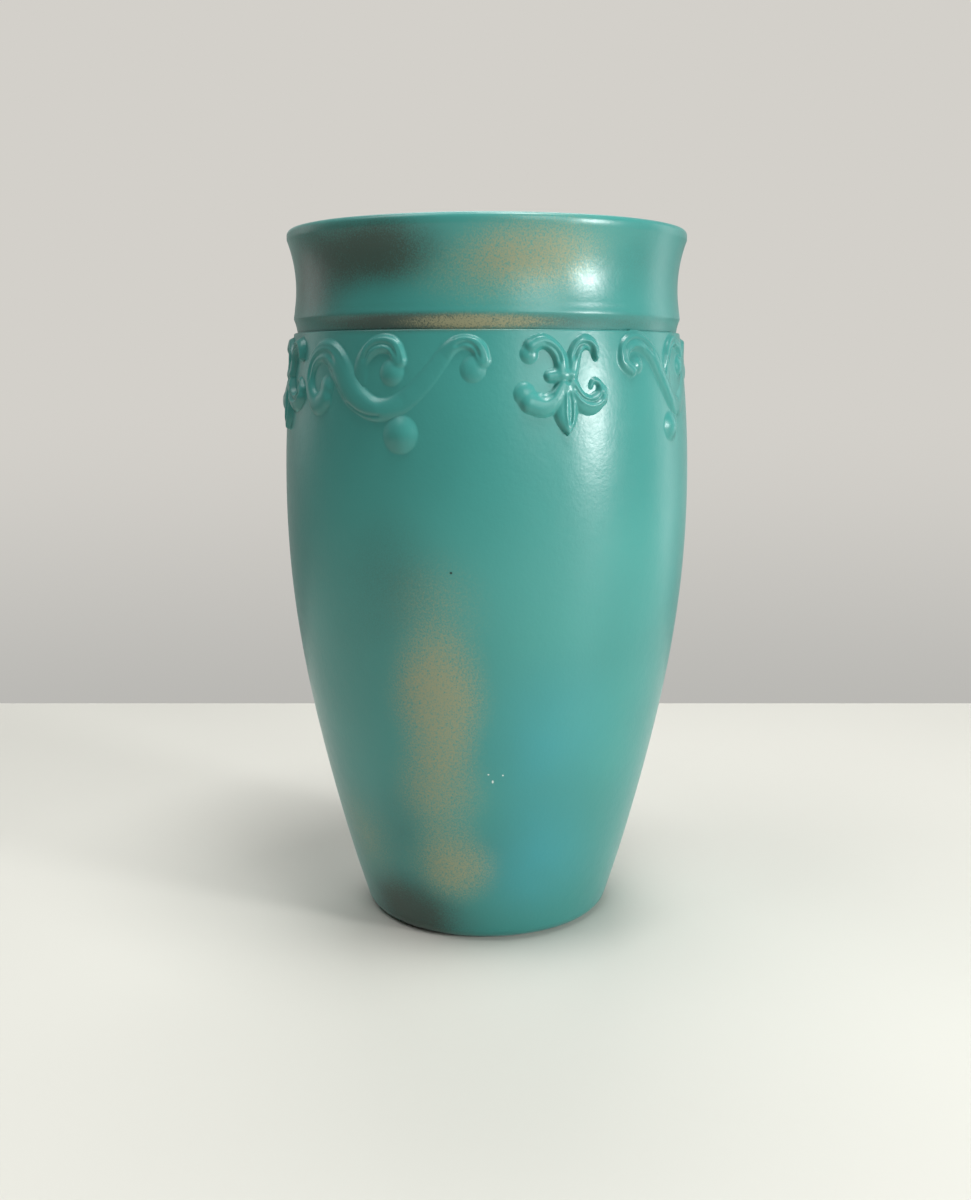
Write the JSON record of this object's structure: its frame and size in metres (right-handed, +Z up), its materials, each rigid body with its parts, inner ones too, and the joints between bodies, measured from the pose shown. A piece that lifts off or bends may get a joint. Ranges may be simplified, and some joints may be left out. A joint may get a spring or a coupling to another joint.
{
  "type": "ornamental ceramic vase",
  "caption": "Tall tapered ceramic vase with a low flared neck, a bead ring and an applied scroll-and-lily frieze, painted satin turquoise with sprayed gold patches.",
  "frame": {"origin": "middle of the foot, on the surface that the vase stands on", "axes": "+Z up along the vase's axis; the front of the frieze faces -Y, +X to the right"},
  "size_m": [0.1626, 0.1626, 0.2762],
  "materials": {
    "body_paint": "satin paint, turquoise with a sprayed gold streak",
    "neck_paint": "satin paint, turquoise with sprayed gold and bronze patches",
    "bead_paint": "satin paint, turquoise with gold over the front",
    "frieze_paint": "satin paint, turquoise"
  },
  "bodies": {
    "root": {"vase_body": "body_paint", "neck_collar": "neck_paint", "neck_bead": "bead_paint", "scroll_1": "frieze_paint", "scroll_2": "frieze_paint", "scroll_3": "frieze_paint", "scroll_4": "frieze_paint", "volute_1": "frieze_paint", "volute_2": "frieze_paint", "volute_3": "frieze_paint", "volute_4": "frieze_paint", "drop_1": "frieze_paint", "drop_2": "frieze_paint", "drop_3": "frieze_paint", "drop_4": "frieze_paint", "fleur_1": "frieze_paint", "fleur_2": "frieze_paint", "fleur_3": "frieze_paint", "fleur_4": "frieze_paint"}
  },
  "joints": []
}
